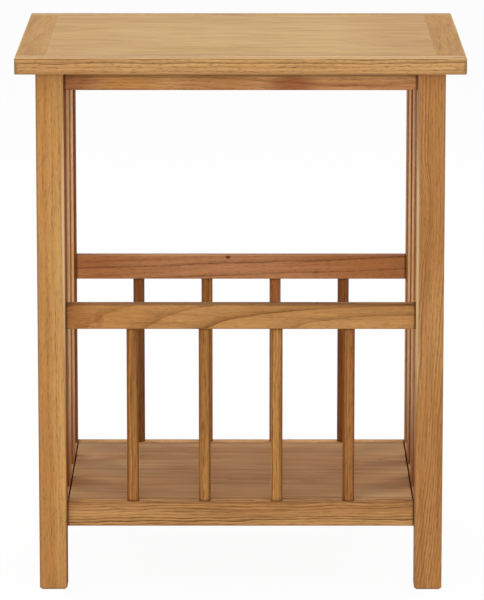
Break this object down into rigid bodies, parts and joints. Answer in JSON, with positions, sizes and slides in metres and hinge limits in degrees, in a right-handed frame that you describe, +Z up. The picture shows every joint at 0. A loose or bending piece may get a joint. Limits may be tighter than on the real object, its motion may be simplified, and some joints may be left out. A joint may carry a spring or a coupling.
{
  "type": "magazine side table",
  "caption": "Solid oak side table with a framed top, slatted sides and a spindle magazine rack above a low boarded shelf.",
  "frame": {"origin": "on the floor, under the middle of the table top", "axes": "+X to the right seen from the front, +Y to the back, +Z up"},
  "size_m": [0.45, 0.35, 0.55],
  "materials": {
    "oak_top": "satin lacquer",
    "oak_top_end": "satin lacquer",
    "oak_leg": "satin lacquer",
    "oak_rail": "satin lacquer",
    "oak_spindle": "satin lacquer",
    "oak_side": "satin lacquer",
    "oak_shelf": "satin lacquer",
    "zinc_screw": "zinc plated"
  },
  "bodies": {
    "root": {"apron_front": "oak_rail", "apron_rear": "oak_rail", "leg_front_left": "oak_leg", "leg_front_right": "oak_leg", "leg_rear_left": "oak_leg", "leg_rear_right": "oak_leg", "rack_rail_front": "oak_rail", "rack_rail_rear": "oak_rail", "shelf_batten_left": "oak_shelf", "shelf_batten_right": "oak_shelf", "shelf_board_1": "oak_shelf", "shelf_board_2": "oak_shelf", "shelf_board_3": "oak_shelf", "shelf_board_4": "oak_shelf", "shelf_rail_front": "oak_rail", "shelf_rail_rear": "oak_rail", "side_low_rail_left": "oak_side", "side_low_rail_right": "oak_side", "side_top_rail_left": "oak_side", "side_top_rail_right": "oak_side", "slat_left_1": "oak_side", "slat_left_2": "oak_side", "slat_right_1": "oak_side", "slat_right_2": "oak_side", "spindle_front_1": "oak_spindle", "spindle_front_2": "oak_spindle", "spindle_front_3": "oak_spindle", "spindle_front_4": "oak_spindle", "spindle_rear_1": "oak_spindle", "spindle_rear_2": "oak_spindle", "spindle_rear_3": "oak_spindle", "spindle_rear_4": "oak_spindle", "top_board_1": "oak_top", "top_board_2": "oak_top", "top_board_3": "oak_top", "top_board_4": "oak_top", "top_board_5": "oak_top", "top_edge_front": "oak_top", "top_edge_rear": "oak_top", "top_end_left": "oak_top_end", "top_end_right": "oak_top_end", "top_screws": "zinc_screw"}
  },
  "joints": []
}
